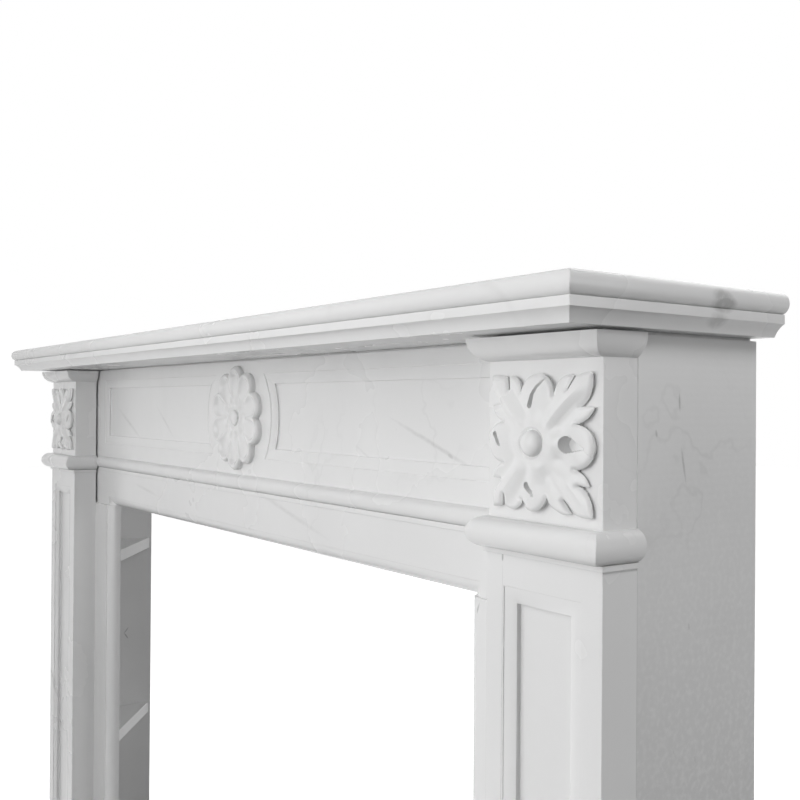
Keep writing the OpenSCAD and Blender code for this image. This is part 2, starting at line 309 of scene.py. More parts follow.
def panel_steps(sink):
    """A panel's frame from its outer edge inwards: how far in, and how deep."""
    r = (FRAME_W ** 2 + FRAME_FALL ** 2) / (2 * FRAME_FALL)
    across = np.linspace(0, FRAME_W, 9)
    crown = [(a, FRAME_STEP + r - math.sqrt(r * r - a * a)) for a in across]
    steps = [(-ARRIS, 0.0), (0.0, 0.0)] + crown + [(FRAME_W, sink), (FRAME_W + ARRIS, sink)]
    return [tuple(p) for p in ease(steps, PANEL_EASE)]


def sink_panel(stone, outline, place, sink):
    """Cuts a sunk panel. outline(inset) gives its loop, and place(a, b, depth) sets a point."""
    loops = [[place(a, b, depth) for a, b in outline(inset)] for inset, depth in panel_steps(sink)]
    stone.rows(loops, closed=True)
    stone.face(loops[-1])


# ---- the square patera -----------------------------------------------------------------

# Half the carved square, the spacing of its points, and how the leaves are set on it:
# across, down, squeezed in height, and with a border that stays where it is
PATERA_REACH = 67.5
PATERA_CELL = 0.66
PATERA_ACROSS = 1.0
PATERA_LOW = 1.75
PATERA_SHRINK = 0.054
PATERA_BORDER = 3.5
# How far the foot of a wall goes in under its edge, and how near a slit takes its own value
LEAF_UNDERCUT = 2.0
SLIT_UNDERCUT = 0.5
SLIT_NEAR = 3.0
SLIT_TAPER = (1.3, 0.5)
# How points are drawn onto the outline: rounds, probe, least slope and share of each move
SNAP_ROUNDS = 6
SNAP_PROBE = 0.05
SNAP_SLOPE = 0.25
SNAP_SHARE = 0.8
# Height of the leaves at the middle, their fall towards the edges, and their rounded rim
LEAF_OUT = 10.4
LEAF_FALL = 3.8
LEAF_FALL_R = 66.0
LEAF_FALL_MOST = 1.25
RIM_ROLL = 2.4
RIM_REACH = 4.5
# A side leaf's swelling by the boss: height, place, half length and half width
SWELL_OUT = 2.2
SWELL_AT = 23.0
SWELL_LONG = 8.0
SWELL_WIDE = 10.0
# A side leaf's fuller outer part: height, half width, and where it starts and is full
LOBE_OUT = 0.9
LOBE_WIDE = 19.0
LOBE_FROM = (36.0, 52.0)
# A corner leaf's rib: where its swing starts and how long it is, how it widens, how much
# gentler its inner flank is, and how it comes in and dies away
RIB_SWING_FROM = 12.0
RIB_SWING_LONG = 70.0
RIB_WIDENING = 0.04
RIB_INNER_FLANK = 1.8
RIB_COMES_IN = 12.0
RIB_DIES = (62.0, 86.0)
RIB_DIES_BY = 0.6
# The hollows beside the rib: distance and reach with their growth, and where they fade
HOLLOW_OFF = (8.0, 0.09)
HOLLOW_REACH = (4.4, 0.05)
HOLLOW_COMES_IN = (17.0, 32.0)
HOLLOW_DIES = (58.0, 78.0)
HOLLOW_DIES_BY = 0.75
# An eye's floor climbs a little early, and its wall takes this much width
EYE_CLIMB = 0.8
EYE_WALL = 1.1
# The boss, and the depth, distance and half width of the groove round it
BOSS_R = 12.3
BOSS_U = -4.5
BOSS_FOOT = 9.6
BOSS_OUT = 17.3
GROOVE_DEPTH = 1.8
GROOVE_OFF = 0.7
GROOVE_HALF = 2.4

# The leaves' outline, anticlockwise from the right. Each point is followed by the rise of
# the arc that leads to the next one, as a share of its chord.
LEAF_OUTLINE = [
    # Right side leaf and the corner leaf above it: claw, point, slit's mouth and lobe
    ((66.0, -2.0), 0.21), ((45.0, 18.6), 0.15), ((64.5, 33.5), 0.04), ((48.5, 34.0), 0.17),
    ((62.0, 64.5), 0.06), ((42.0, 61.5), 0.16), ((25.5, 59.5), 0.12), ((19.0, 44.0), 0.14),
    # Top side leaf and the upper left corner leaf
    ((6.0, 64.0), 0.04), ((-7.0, 64.0), 0.16), ((-23.0, 47.5), 0.12), ((-29.0, 61.0), 0.14),
    ((-42.5, 62.0), 0.06), ((-63.0, 64.0), 0.17), ((-50.0, 36.5), 0.04), ((-63.5, 35.0), 0.15),
    # Left side leaf and the lower left corner leaf
    ((-45.5, 19.5), 0.22), ((-66.0, 0.0), 0.22), ((-45.0, -20.0), 0.15), ((-62.5, -35.0), 0.04),
    ((-51.0, -37.0), 0.16), ((-61.0, -63.0), 0.07), ((-46.5, -60.0), 0.18), ((-27.5, -61.5), 0.14),
    # Bottom side leaf and the lower right corner leaf
    ((-22.0, -53.5), 0.16), ((-8.0, -64.0), 0.16), ((11.0, -49.0), 0.14), ((22.0, -60.5), 0.14),
    ((40.0, -61.5), 0.06), ((63.0, -63.5), 0.13), ((51.5, -38.0), 0.05), ((58.5, -36.0), 0.14),
    ((42.0, -22.0), 0.22),
]
OUTLINE_STEPS = 9

# Slits between the lobes: outer end, inner end, and half width
LEAF_SLITS = [
    ((42.0, 63.0), (35.0, 50.0), 0.9), ((-42.5, 63.0), (-39.5, 50.5), 1.0),
    ((40.5, -63.0), (29.5, -50.5), 0.9), ((-47.5, -62.0), (-45.5, -50.5), 1.2),
    ((58.0, -38.5), (47.5, -36.0), 0.7), ((-62.0, -36.0), (-52.0, -36.0), 0.6),
]

# Drilled eyes: where each starts and ends, its radius at both ends, and its floor's height
# at both ends
LEAF_EYES = [
    ((37.0, 0.0), (56.0, -3.0), 7.8, 1.2, -1.5, 6.8),
    ((-8.2, 35.0), (-5.4, 44.5), 2.6, 2.0, -2.0, 2.5), ((-5.4, 44.5), (0.2, 52.0), 2.0, 1.5, 2.5, 4.0),
    ((0.2, 52.0), (10.0, 60.0), 1.5, 0.8, 4.0, 5.0),
    ((-55.0, 7.5), (-48.5, -3.0), 2.2, 1.5, -1.0, 4.0),
    ((-13.5, -40.0), (-4.0, -49.0), 3.4, 1.4, -3.0, 6.2),
]

# Folds in the side leaves: the stone falls beyond the right of each line, and rises again
# over its reach: start, end, fall and reach
LEAF_FOLDS = [
    ((41.0, 8.0), (64.0, -11.0), 1.9, 8.0),
    ((-4.0, -45.0), (-16.5, -61.0), 1.8, 8.0),
]

# The ribs of the corner leaves, by the signs of across and up: where the rib starts, its
# height and width, how far it swings, and the depth of the hollows towards the side leaf
# across and the side leaf up
CORNER_RIBS = {
    (1, 1): (15.0, 2.6, 5.0, -2.5, 3.0, 0.9),
    (-1, 1): (20.0, 1.9, 5.5, 2.0, 1.0, 1.1),
    (-1, -1): (22.0, 1.7, 8.0, -2.0, 1.2, 2.2),
    (1, -1): (40.0, 1.3, 5.0, 2.0, 2.3, 2.5),
}

# Soft hollows between the leaves: across, up, radius and depth
LEAF_DIMPLES = [
    (5.0, 25.0, 10.0, 1.9), (-30.0, -7.0, 9.0, 1.5), (27.0, -19.0, 11.0, 1.5), (9.0, -39.0, 10.0, 1.8),
]


def arc_between(a, b, arch, steps):
    """Points from a up to, but not with, b, along a shallow arc that bulges to the right."""
    along = (b[0] - a[0], b[1] - a[1])
    points = []
    for k in range(steps):
        t = k / steps
        bulge = 4 * arch * t * (1 - t)
        points.append((a[0] + along[0] * t + along[1] * bulge, a[1] + along[1] * t - along[0] * bulge))
    return points


def leaf_outline():
    points = []
    for (a, arch), (b, _) in zip(LEAF_OUTLINE, LEAF_OUTLINE[1:] + LEAF_OUTLINE[:1]):
        points += arc_between(a, b, arch, OUTLINE_STEPS)
    return points


def along_line(x, y, start, end):
    """Share of the way along a line, the distance from it, and the distance to its right."""
    ax, ay = end[0] - start[0], end[1] - start[1]
    length = math.hypot(ax, ay)
    share = ((x - start[0]) * ax + (y - start[1]) * ay) / length ** 2
    held = np.clip(share, 0.0, 1.0)
    away = np.hypot(x - start[0] - ax * held, y - start[1] - ay * held)
    right = ((x - start[0]) * ay - (y - start[1]) * ax) / length
    return share, away, right


def tapered(x, y, start, end, r0, r1):
    """Depth inside a round-ended groove whose radius goes from r0 to r1, and the share along it."""
    share, away, _ = along_line(x, y, start, end)
    share = np.clip(share, 0.0, 1.0)
    return r0 + (r1 - r0) * share - away, share


def slit_depth(x, y):
    """Depth inside the nearest slit; outside all slits, it is negative."""
    mouth, root = SLIT_TAPER
    depths = [tapered(x, y, start, end, r * mouth, r * root)[0] for start, end, r in LEAF_SLITS]
    return np.maximum.reduce(depths)


def leaf_depth(x, y):
    """Depth inside the leaves' outline; outside, it is negative."""
    outline = leaf_outline()
    away = np.full_like(x, 1e3)
    inside = np.zeros(x.shape, bool)
    for a, b in zip(outline, outline[1:] + outline[:1]):
        away = np.minimum(away, along_line(x, y, a, b)[1])
        if a[1] != b[1]:
            crossing = a[0] + (y - a[1]) * (b[0] - a[0]) / (b[1] - a[1])
            inside ^= ((a[1] > y) != (b[1] > y)) & (x < crossing)
    return np.minimum(np.where(inside, away, -away), -slit_depth(x, y))


def rise(value, start, end):
    """A smooth step from 0 at start to 1 at end."""
    t = np.clip((value - start) / (end - start), 0, 1)
    return t * t * (3 - 2 * t)


def leaf_height(x, y, depth):
    """Height of the carved leaves above the block."""
    rho = np.hypot(x, y)
    small, large = np.minimum(abs(x), abs(y)), np.maximum(abs(x), abs(y))
    height = LEAF_OUT - LEAF_FALL * np.minimum((rho / LEAF_FALL_R) ** 2, LEAF_FALL_MOST)
    # The side leaves swell round the boss, and are full across their width
    height += SWELL_OUT * np.exp(-((large - SWELL_AT) / SWELL_LONG) ** 2 - (small / SWELL_WIDE) ** 2)
    height += LOBE_OUT * np.clip(1 - (small / LOBE_WIDE) ** 2, 0, 1) * rise(large, *LOBE_FROM)
    # A corner leaf has a swinging rib, a hollow on both sides of it, and fuller outer lobes
    along = (large + small) / math.sqrt(2)
    for (sx, sy), (start, crest, width, swing, hollow_x, hollow_y) in CORNER_RIBS.items():
        quarter = ((x * sx > 0) & (y * sy > 0)).astype(float)
        bend = swing * np.sin(np.pi * np.clip((along - RIB_SWING_FROM) / RIB_SWING_LONG, 0, 1))
        off = (abs(x) - abs(y)) / math.sqrt(2) - bend
        flank = width + RIB_WIDENING * along
        ridge = np.clip(1 - np.where(off > 0, off / flank, -off / (RIB_INNER_FLANK * flank)), 0, 1)
        ridge = ridge * rise(along, start, start + RIB_COMES_IN)
        height += crest * ridge * (1 - RIB_DIES_BY * rise(along, *RIB_DIES)) * quarter
        centre = HOLLOW_OFF[0] + HOLLOW_OFF[1] * along
        reach = HOLLOW_REACH[0] + HOLLOW_REACH[1] * along
        fade = rise(along, *HOLLOW_COMES_IN) * (1 - HOLLOW_DIES_BY * rise(along, *HOLLOW_DIES)) * quarter
        height -= hollow_x * np.exp(-((off - centre) / reach) ** 2) * fade
        height -= hollow_y * np.exp(-((off + centre) / reach) ** 2) * fade
    for u, v, radius, fall in LEAF_DIMPLES:
        height -= fall * np.exp(-((x - u) ** 2 + (y - v) ** 2) / radius ** 2)
    for start, end, fall, reach in LEAF_FOLDS:
        share, _, right = along_line(x, y, start, end)
        ends = rise(share, -0.1, 0.15) * (1 - rise(share, 0.95, 1.1))
        height -= np.where(right > 0, fall * np.exp(-right / reach) * ends, 0.0)
    height -= RIM_ROLL * np.clip(1 - depth / RIM_REACH, 0, 1) ** 2
    for start, end, r0, r1, low, high in LEAF_EYES:
        inside, share = tapered(x, y, start, end, r0, r1)
        bottom = np.minimum(low + (high - low) * share ** EYE_CLIMB, height)
        height = height + (bottom - height) * np.clip(inside / EYE_WALL, 0, 1)
    # The boss, and the groove round it
    rho = np.hypot(x - BOSS_U, y)
    height -= GROOVE_DEPTH * np.clip(1 - abs(rho - BOSS_R - GROOVE_OFF) / GROOVE_HALF, 0, 1)
    dome = BOSS_FOOT + (BOSS_OUT - BOSS_FOOT) * np.sqrt(np.clip(1 - (rho / BOSS_R) ** 2, 0, 1))
    return np.where(rho < BOSS_R, dome, height)


def patera_grid():
    """The carved square as a grid: across, up, and height above the block."""
    count = 2 * int(PATERA_REACH / PATERA_CELL) + 1
    axis = np.linspace(-PATERA_REACH, PATERA_REACH, count)
    x, y = np.meshgrid(axis, axis)
    depth = leaf_depth(x, y)
    inside = depth > 0
    near = np.zeros_like(inside)
    for dy in (-1, 0, 1):
        for dx in (-1, 0, 1):
            near |= np.roll(inside, (dy, dx), (0, 1)) != inside
    near[0, :] = near[-1, :] = near[:, 0] = near[:, -1] = False
    # Points beside the outline are drawn onto it, and the foot of the wall under the edge
    nx, ny = x[near], y[near]
    slit = slit_depth(nx, ny) > -SLIT_NEAR
    target = np.where(inside[near], 0.0, np.where(slit, SLIT_UNDERCUT, LEAF_UNDERCUT))
    step = SNAP_PROBE
    for _ in range(SNAP_ROUNDS):
        gap = target - leaf_depth(nx, ny)
        gx = (leaf_depth(nx + step, ny) - leaf_depth(nx - step, ny)) / (2 * step)
        gy = (leaf_depth(nx, ny + step) - leaf_depth(nx, ny - step)) / (2 * step)
        move = np.clip(gap / np.maximum(gx * gx + gy * gy, SNAP_SLOPE), -PATERA_CELL, PATERA_CELL)
        nx, ny = nx + gx * move * SNAP_SHARE, ny + gy * move * SNAP_SHARE
    x[near], y[near] = nx, ny
    height = np.where(inside, leaf_height(x, y, np.maximum(leaf_depth(x, y), 0.0)), 0.0)
    return x, y, height


PATERA = patera_grid()


def settled(u, v):
    """A point of the patera moved to where the leaves are set, a little low on their block."""
    free = 1 - rise(max(abs(u), abs(v)), PATERA_REACH - PATERA_BORDER, PATERA_REACH)
    return u + PATERA_ACROSS * free, v - (PATERA_LOW + PATERA_SHRINK * v) * free


def carve_patera(stone, place):
    """Carves the patera into a square face; returns the four sides of the grid's border."""
    rows = [[place(*settled(u, v), h) for u, v, h in zip(*line)] for line in zip(*PATERA)]
    ids = stone.rows(rows)
    return [ids[0], [r[-1] for r in ids], ids[-1][::-1], [r[0] for r in reversed(ids)]]


# ---- the pilasters ---------------------------------------------------------------------


def round_at(out, h, z):
    """How far a half-round moulding stands out at height z above its foot."""
    r = h / 2 if out > h / 2 else (out * out + h * h / 4) / (2 * out)
    return out - r + math.sqrt(max(r * r - (z - h / 2) ** 2, 0.0))


def quarter_at(out, h, z):
    """How far a quarter-round moulding, furthest out at its top, stands out at height z."""
    r = (out * out + h * h) / (2 * out)
    return out - r + math.sqrt(max(r * r - (h - z) ** 2, 0.0))


def pilaster_profile():
    """From the foot up: the height, and how far the front and the sides stand out."""
    torus = []
    for a in np.linspace(0, math.pi, 23):
        z = TORUS_H / 2 * (1 - math.cos(a))
        torus.append((torus_z + z, round_at(MOULD_FRONT, TORUS_H, z), round_at(MOULD_SIDE, TORUS_H, z)))
    crown = []
    for a in np.linspace(0, math.pi / 2, 13):
        z = CROWN_H * (1 - math.cos(a))
        crown.append((block_top + z, quarter_at(MOULD_FRONT + BLOCK_IN, CROWN_H, z) - BLOCK_IN,
                      quarter_at(MOULD_SIDE + BLOCK_IN, CROWN_H, z) - BLOCK_IN))
    out, fillet = PLINTH_OUT, TORUS_FILLET_OUT
    points = [(0, out, out), (PLINTH_H - out, out, out), (PLINTH_H, 0, 0), (torus_fillet_z, 0, 0),
              (torus_fillet_z, fillet, fillet), (torus_z, fillet, fillet)]
    points += torus + [(block_z, -BLOCK_IN, -BLOCK_IN)] + crown
    return ease(points, MOULD_EASE)


def pilaster(side, node, material):
    stone = Stone()
    half = (pilaster_outer - pilaster_inner) / 2
    middle = side * pilaster_x
    profile = pilaster_profile()
    rings = [plan_ring(half + so, shaft_y - fo, slip_y, z, middle=middle) for z, fo, so in profile]
    ids = [stone.add(ring) for ring in rings]
    left, right = 1 + ARRIS_STEPS, 2 + ARRIS_STEPS
    shaft_mid, block_mid = (PLINTH_H + torus_fillet_z) / 2, (block_z + block_top) / 2
    for i, (a, b) in enumerate(zip(ids, ids[1:])):
        low, high = profile[i][0], profile[i + 1][0]
        corners = [a[left], a[right], b[right], b[left]]
        if low < shaft_mid < high:
            sides = shaft_panel(stone, middle)
        elif low < block_mid < high:
            def place(u, v, height):
                return (middle + side * u, shaft_y + BLOCK_IN - height, block_mid + v)
            sides = carve_patera(stone, place)
            if side < 0:
                sides = [s[::-1] for s in (sides[0], sides[3], sides[2], sides[1])]
        else:
            stone.band(a, b)
            continue
        stone.band(a[:left + 1], b[:left + 1])
        stone.band(a[right:], b[right:])
        for k in range(4):
            stone.faces.append([corners[k], corners[(k + 1) % 4]] + list(reversed(sides[k])))
    stone.face(rings[0])
    stone.face(rings[-1])
    stone.face([r[0] for r in rings] + [r[-1] for r in reversed(rings)])
    return stone.finish(f"carved_{node}", material, node)


def shaft_panel(stone, middle):
    """Sinks the shaft's panel; returns the four sides of its outer edge."""
    half_w = (pilaster_outer - pilaster_inner) / 2 - SHAFT_MARGIN_SIDE
    z0, z1 = PLINTH_H + SHAFT_MARGIN_FOOT, torus_fillet_z - SHAFT_MARGIN_TOP

    def loop(inset):
        x = half_w - inset
        return [(-x, z0 + inset), (x, z0 + inset), (x, z1 - inset), (-x, z1 - inset)]

    def place(a, b, depth):
        return (middle + a, shaft_y + depth, b)

    first = len(stone.points)
    sink_panel(stone, loop, place, SHAFT_SINK)
    return [[first + k, first + (k + 1) % 4] for k in range(4)]


# ---- the rosette -----------------------------------------------------------------------

ROSETTE_R = 76.0
PETALS = 10
BUTTON_R = 11.0
BUTTON_FOOT = 8.0
PETAL_STEPS = 40
PETAL_RINGS = 84
PETAL_OVERLAP = 1.12
PETAL_UNDERCUT = 0.3
ROSETTE_APRON = ROSETTE_R + 2.5
# In shares of the way out: the petals climb from their floor to their lip, fall at the
# seams, and roll over at the edge
PETAL_FLOOR = 7.0
PETAL_LIP = 10.2
PETAL_CLIMB = (0.42, 0.88)
SEAM_FALL = 1.0
SEAM_FROM = (0.5, 0.95)
LIP_ROLL = 4.6
LIP_FROM = 0.93
LIP_SHARE = 0.07
# The pocket behind each lip: depth, half width and fullness, and where it starts and ends
POCKET_DEPTH = 4.8
POCKET_WIDE = 0.86
POCKET_FULL = 0.7
POCKET_FROM = (0.42, 0.78)
POCKET_TO = (0.81, 0.93)
# Round the button: the hollows in line with the seams, the collar and the groove, each
# with its depth or height, its place and its width
SEAM_HOLLOW = (1.8, 28.0, 7.5)
COLLAR = (1.4, 18.0, 4.6)
BUTTON_GROOVE = (0.8, 0.6, 3.0)
# The hand-cut waver: its reach, its scale, and the height that it starts above
WAVER = 1.3
WAVER_SCALE = 38.0
WAVER_ABOVE = 3.0


def rosette_edge(angle):
    """The rosette's scalloped outline: its radius at each angle."""
    step = 2 * math.pi / PETALS
    petal_r = PETAL_OVERLAP * ROSETTE_R * math.sin(step / 2) / (1 + math.sin(step / 2))
    centre = ROSETTE_R - petal_r
    off = np.mod(angle, step) - step / 2
    return centre * np.cos(off) + np.sqrt(np.maximum(petal_r ** 2 - (centre * np.sin(off)) ** 2, 0))


def rosette_height(radius, angle):
    """Height of the rosette above the frieze."""
    step = 2 * math.pi / PETALS
    share = radius / rosette_edge(angle)
    off = (np.mod(angle, step) - step / 2) / (step / 2)
    # The petals rise to a rounded lip, and the seams between them stay a little lower
    ground = PETAL_FLOOR + (PETAL_LIP - PETAL_FLOOR) * rise(share, *PETAL_CLIMB)
    ground -= SEAM_FALL * off ** 4 * rise(share, *SEAM_FROM)
    lip = LIP_ROLL * np.clip((share - LIP_FROM) / LIP_SHARE, 0, 1) ** 2
    # A pocket is scooped behind each lip, deepest towards the outside
    across = np.clip(1 - (off / POCKET_WIDE) ** 2, 0, 1) ** POCKET_FULL
    pocket = POCKET_DEPTH * across * rise(share, *POCKET_FROM) * (1 - rise(share, *POCKET_TO))
    # Shallow hollows round the button, in line with the seams
    depth, place, width = SEAM_HOLLOW
    hollow = depth * np.exp(-((radius - place) / width) ** 2) * (0.5 + 0.5 * np.cos(angle * PETALS))
    depth, place, width = COLLAR
    collar = depth * np.exp(-((radius - place) / width) ** 2)
    depth, place, width = BUTTON_GROOVE
    groove = depth * np.clip(1 - abs(radius - BUTTON_R - place) / width, 0, 1)
    round_top = np.sqrt(np.clip(1 - (radius / BUTTON_R) ** 2, 0, 1))
    dome = BUTTON_FOOT + (ROSETTE_OUT - BUTTON_FOOT) * round_top
    return np.where(radius < BUTTON_R, dome, ground - lip - pocket - hollow + collar - groove)


def petal_mesh():
    """One petal with its share of the button, from the middle of one seam to the next."""
    angles = np.linspace(0, 2 * math.pi / PETALS, PETAL_STEPS + 1)
    edge = rosette_edge(angles)
    rings = [(np.full_like(angles, ROSETTE_APRON), np.zeros_like(angles)),
             (edge - PETAL_UNDERCUT, np.zeros_like(angles))]
    for share in np.linspace(1, 0, PETAL_RINGS, endpoint=False):
        rings.append((edge * share, rosette_height(edge * share, angles)))
    stone = Stone()
    ids = stone.rows([[(r * math.cos(a), -h, r * math.sin(a)) for r, h, a in zip(radius, height, angles)]
                      for radius, height in rings])
    centre = stone.add([(0.0, -ROSETTE_OUT, 0.0)])[0]
    stone.faces.extend((a, b, centre) for a, b in zip(ids[-1], ids[-1][1:]))
    mesh = bpy.data.meshes.new("petal")
    mesh.from_pydata([tuple(c * MM for c in p) for p in stone.points], [], stone.faces)
    return mesh


def petal_ring_tree():
    """Turns one petal round the button, makes the ring one mesh and gives it a hand-cut waver."""
    tree = bpy.data.node_groups.new("petal_ring", "GeometryNodeTree")
    sockets = (("Petal", "NodeSocketGeometry"), ("Petals", "NodeSocketInt"), ("Waver", "NodeSocketFloat"),
               ("Waver Scale", "NodeSocketFloat"), ("Cut Above", "NodeSocketFloat"),
               ("Stone", "NodeSocketMaterial"))
    for name, kind in sockets:
        tree.interface.new_socket(name, in_out="INPUT", socket_type=kind)
    tree.interface.new_socket("Rosette", in_out="OUTPUT", socket_type="NodeSocketGeometry")
    given = tree.nodes.new("NodeGroupInput")
    result = tree.nodes.new("NodeGroupOutput")

    def node(kind, links=(), **settings):
        made = tree.nodes.new(kind)
        for key, value in settings.items():
            setattr(made, key, value)
        for socket, source in links:
            if isinstance(source, bpy.types.NodeSocket):
                tree.links.new(source, made.inputs[socket])
            else:
                made.inputs[socket].default_value = source
        return made

    def math_node(operation, a, b):
        return node("ShaderNodeMath", [(0, a), (1, b)], operation=operation).outputs[0]

    line = node("GeometryNodeMeshLine", [("Count", given.outputs["Petals"]), ("Offset", (0.0, 0.0, 0.0))])
    index = node("GeometryNodeInputIndex").outputs[0]
    turn = math_node("DIVIDE", math_node("MULTIPLY", index, 2 * math.pi), given.outputs["Petals"])
    spin = node("FunctionNodeAxisAngleToRotation", [("Axis", (0.0, -1.0, 0.0)), ("Angle", turn)])
    ring = node("GeometryNodeInstanceOnPoints", [("Points", line.outputs[0]),
                ("Instance", given.outputs["Petal"]), ("Rotation", spin.outputs[0])])
    solid = node("GeometryNodeRealizeInstances", [(0, ring.outputs[0])])
    merged = node("GeometryNodeMergeByDistance", [("Geometry", solid.outputs[0]), ("Distance", MERGE * MM)])
    place = node("GeometryNodeInputPosition").outputs[0]
    noise = node("ShaderNodeTexNoise", [("Vector", place), ("Scale", given.outputs["Waver Scale"]),
                 ("Detail", 1.0), ("W", 3.0)], noise_dimensions="4D").outputs["Fac"]
    depth = node("ShaderNodeSeparateXYZ", [(0, place)]).outputs[1]
    carved = math_node("LESS_THAN", depth, math_node("MULTIPLY", given.outputs["Cut Above"], -1.0))
    shift = math_node("MULTIPLY", math_node("MULTIPLY", noise, given.outputs["Waver"]), carved)
    offset = node("ShaderNodeCombineXYZ", [(1, shift)]).outputs[0]
    cut = node("GeometryNodeSetPosition", [("Geometry", merged.outputs[0]), ("Offset", offset)])
    dressed = node("GeometryNodeSetMaterial", [("Geometry", cut.outputs[0]),
                   ("Material", given.outputs["Stone"])])
    tree.links.new(dressed.outputs[0], result.inputs[0])
    return tree


def grow_rosette(material):
    """The whole rosette as points in millimetres about its centre, and its faces."""
    seed = bpy.data.objects.new("petal", petal_mesh())
    bpy.context.scene.collection.objects.link(seed)
    maker = seed.modifiers.new("petal_ring", "NODES")
    maker.node_group = petal_ring_tree()
    values = {"Petals": PETALS, "Waver": WAVER * MM, "Waver Scale": WAVER_SCALE,
              "Cut Above": WAVER_ABOVE * MM, "Stone": material}
    for item in maker.node_group.interface.items_tree:
        if item.in_out == "INPUT" and item.name in values:
            maker[item.identifier] = values[item.name]
    seed.update_tag()
    view = bpy.context.evaluated_depsgraph_get()
    grown = bpy.data.meshes.new_from_object(seed.evaluated_get(view))
    points = [tuple(c / MM for c in v.co) for v in grown.vertices]
    faces = [tuple(p.vertices) for p in grown.polygons]
    seed.modifiers.remove(maker)
    bpy.data.objects.remove(seed)
    return points, faces


def rosette(stone, material):
    """Sets the rosette on the frieze; returns the loop that joins it to the stone round it."""
    points, faces = grow_rosette(material)
    ids = stone.add([(x, lintel_y + y, rosette_z + z) for x, y, z in points])
    stone.faces.extend(tuple(ids[i] for i in face) for face in faces)
    angles = np.linspace(0, 2 * math.pi, PETALS * PETAL_STEPS, endpoint=False)
    return [(ROSETTE_APRON * math.cos(a), rosette_z + ROSETTE_APRON * math.sin(a)) for a in angles]


# ---- the frieze ------------------------------------------------------------------------


def bead_profile():
    """The opening's rounded edge: how far from the opening, and how deep."""
    curve = arc(BEAD_W, BEAD_STEP + BEAD_W, BEAD_W, -90, -180, 10)
    return [tuple(p) for p in ease([(BEAD_W + ARRIS, 0.0), (BEAD_W, 0.0)] + curve, PANEL_EASE)]


def field_loop(side, inset):
    """One frieze panel's outline: straight sides and an end that follows the round field."""
    x1 = pilaster_inner - FIELD_MARGIN_END - inset
    top = shelf_z - FIELD_MARGIN_TOP - inset
    foot = rail_top + FIELD_MARGIN_FOOT + inset
    radius = MEDALLION_R + inset
    start = math.degrees(math.asin((top - rosette_z) / radius))
    end = math.degrees(math.asin((foot - rosette_z) / radius))
    loop = [(x1, foot), (x1, top)] + arc(0.0, rosette_z, radius, start, end, 32)
    return [(side * x, z) for x, z in loop]


def rail_profile():
    """The half-round and the fillet under it: the height, and how far out."""
    curve = []
    for a in np.linspace(0, math.pi, 17):
        z = RAIL_H / 2 * (1 - math.cos(a))
        curve.append((rail_z + z, round_at(RAIL_OUT, RAIL_H, z)))
    points = [(rail_fillet_z, 0.0), (rail_fillet_z, RAIL_FILLET_OUT), (rail_z, RAIL_FILLET_OUT)] + curve
    return [tuple(p) for p in ease(points, PANEL_EASE)]


def frieze(material):
    stone = Stone()
    x_end = lintel_high[0]
    rail_x = pilaster_low[0] - RAIL_GAP
    top = body_top

    def place(x, z, depth=0.0):
        return (x, lintel_y + depth, z)

    # The rounded edge over the opening, mitred at its corners
    bead = bead_profile()
    chains = []
    for a, depth in bead + [(0.0, lintel_back - lintel_y)]:
        x = opening_x + a
        chains.append([place(-x, opening_z, depth), place(-x, opening_z + a, depth),
                       place(x, opening_z + a, depth), place(x, opening_z, depth)])
    stone.rows(chains)
    edge = bead[0][0]
    panels = [field_loop(s, panel_steps(FIELD_SINK)[0][0]) for s in (-1, 1)]
    for s in (-1, 1):
        sink_panel(stone, lambda inset, s=s: field_loop(s, inset), place, FIELD_SINK)
    profile = rail_profile()
    stone.rows([[(x, lintel_y - out, z) for x in (-rail_x, rail_x)] for z, out in profile])
    for x in (-rail_x, rail_x):
        stone.face([(x, lintel_y - out, z) for z, out in profile])
    rail_hole = [(-rail_x, profile[0][0]), (rail_x, profile[0][0]),
                 (rail_x, profile[-1][0]), (-rail_x, profile[-1][0])]
    medallion = rosette(stone, material)
    outline = [(-x_end, opening_z), (-opening_x - edge, opening_z), (-opening_x - edge, opening_z + edge),
               (opening_x + edge, opening_z + edge), (opening_x + edge, opening_z), (x_end, opening_z),
               (x_end, top), (-x_end, top)]
    stone.plate(outline, panels + [rail_hole, medallion], place)
    # Underside beside the opening, ends, top and back
    for s in (-1, 1):
        chain = [c[0 if s < 0 else 3] for c in chains]
        stone.face([(s * x_end, lintel_y, opening_z)] + chain + [(s * x_end, lintel_back, opening_z)])
        stone.face([(s * x_end, y, z) for y, z in ((lintel_y, opening_z), (lintel_back, opening_z),
                                                   (lintel_back, top), (lintel_y, top))])
    stone.face([(-x_end, lintel_y, top), (x_end, lintel_y, top), (x_end, lintel_back, top),
                (-x_end, lintel_back, top)])
    stone.face([(x, lintel_back, z) for x, z in ((-x_end, opening_z), (-opening_x, opening_z),
                                                 (opening_x, opening_z), (x_end, opening_z),
                                                 (x_end, top), (-x_end, top))])
    return stone.finish("carved_frieze", material, "frieze_lintel")


# ---- slips, side slabs and braces ------------------------------------------------------


def prism(stone, outline, low, high):
    """Stands a flat outline upright between two heights."""
    stone.rows([[(x, y, low) for x, y in outline], [(x, y, high) for x, y in outline]], closed=True)
    stone.face([(x, y, low) for x, y in outline])
    stone.face([(x, y, high) for x, y in outline])


def slip(side, node, material):
    stone = Stone()
    low, high = box_mm(node)
    edge = [(opening_x + a, slip_y + depth) for a, depth in bead_profile()]
    outline = [(slip_high[0], slip_y)] + edge + [(opening_x, slip_high[1]), (slip_high[0], slip_high[1])]
    prism(stone, [(side * x, y) for x, y in outline], low[2], high[2])
    return stone.finish(f"polished_{node}", material, node)


